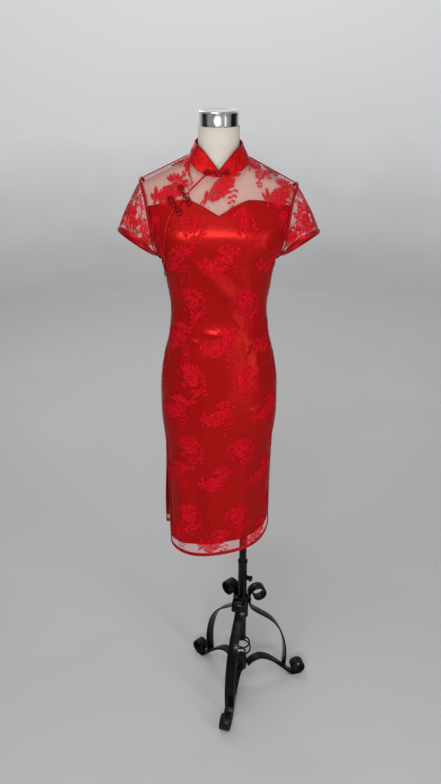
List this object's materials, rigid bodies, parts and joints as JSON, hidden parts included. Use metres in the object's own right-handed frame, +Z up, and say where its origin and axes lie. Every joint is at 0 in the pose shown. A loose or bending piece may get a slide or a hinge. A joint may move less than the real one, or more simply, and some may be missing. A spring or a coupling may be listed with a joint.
{
  "type": "cheongsam dress on a limbless dress form with a tripod stand",
  "caption": "Short-sleeved cheongsam of floral lace over satin with a stand collar, slanted front opening, frog fasteners and side slits, on a limbless dress form with a scrolled iron stand.",
  "frame": {"origin": "on the floor, under the middle of the whole part's box", "axes": "+Z up; -Y is the dress's front; +X is to the right of someone who faces the front"},
  "size_m": [0.5325, 0.3765, 1.774],
  "materials": {
    "satin_lining": "red satin, soft sheen",
    "lace": "red floral lace on sheer net",
    "satin_binding": "red satin bias binding and cord",
    "form_jersey": "cream knitted jersey over a light shell",
    "cap_metal": "polished, mirror bright",
    "stand_iron": "gloss black enamel",
    "pole_steel": "gloss black enamel"
  },
  "bodies": {
    "stand": {"stand_tube": "stand_iron", "stand_collar": "stand_iron", "stand_hub": "stand_iron", "stand_coil": "stand_iron", "rail_upper_front": "stand_iron", "rail_lower_front": "stand_iron", "rail_upper_right": "stand_iron", "rail_lower_right": "stand_iron", "rail_upper_left": "stand_iron", "rail_lower_left": "stand_iron", "clamp_boss": "stand_iron"},
    "pole": {"pole": "pole_steel"},
    "form": {"lace_front": "lace", "lace_side_front": "lace", "lace_back": "lace", "sleeve_left": "lace", "sleeve_right": "lace", "lining_front": "satin_lining", "lining_side_front": "satin_lining", "lining_back": "satin_lining", "collar": "satin_lining", "sleeve_hem_left": "satin_binding", "sleeve_hem_right": "satin_binding", "armhole_binding_left": "satin_binding", "armhole_binding_right": "satin_binding", "hem_binding_front": "satin_binding", "hem_binding_back": "satin_binding", "opening_binding": "satin_binding", "shoulder_binding_left": "satin_binding", "shoulder_binding_right": "satin_binding", "collar_binding": "satin_binding", "frog_neck_loop": "satin_binding", "frog_neck_knot": "satin_binding", "frog_upper_loop": "satin_binding", "frog_upper_knot": "satin_binding", "frog_lower_loop": "satin_binding", "frog_lower_knot": "satin_binding", "form_torso": "form_jersey", "neck_cap": "cap_metal", "form_flange": "stand_iron"},
    "clamp_screw": {"clamp_screw": "stand_iron"}
  },
  "joints": [
    {"name": "height_slide", "type": "slide", "parent": "stand", "child": "pole", "axis": [0, 0, 1], "range_m": [-0.1, 0.13]},
    {"name": "form_swivel", "type": "hinge", "parent": "pole", "child": "form", "pos_m": [0.0536, 0.0234, 0.94], "axis": [0, 0, 1], "continuous": true},
    {"name": "clamp_turn", "type": "hinge", "parent": "stand", "child": "clamp_screw", "pos_m": [0.0536, 0.0234, 0.436], "axis": [0.8829, -0.4695, 0], "continuous": true}
  ]
}
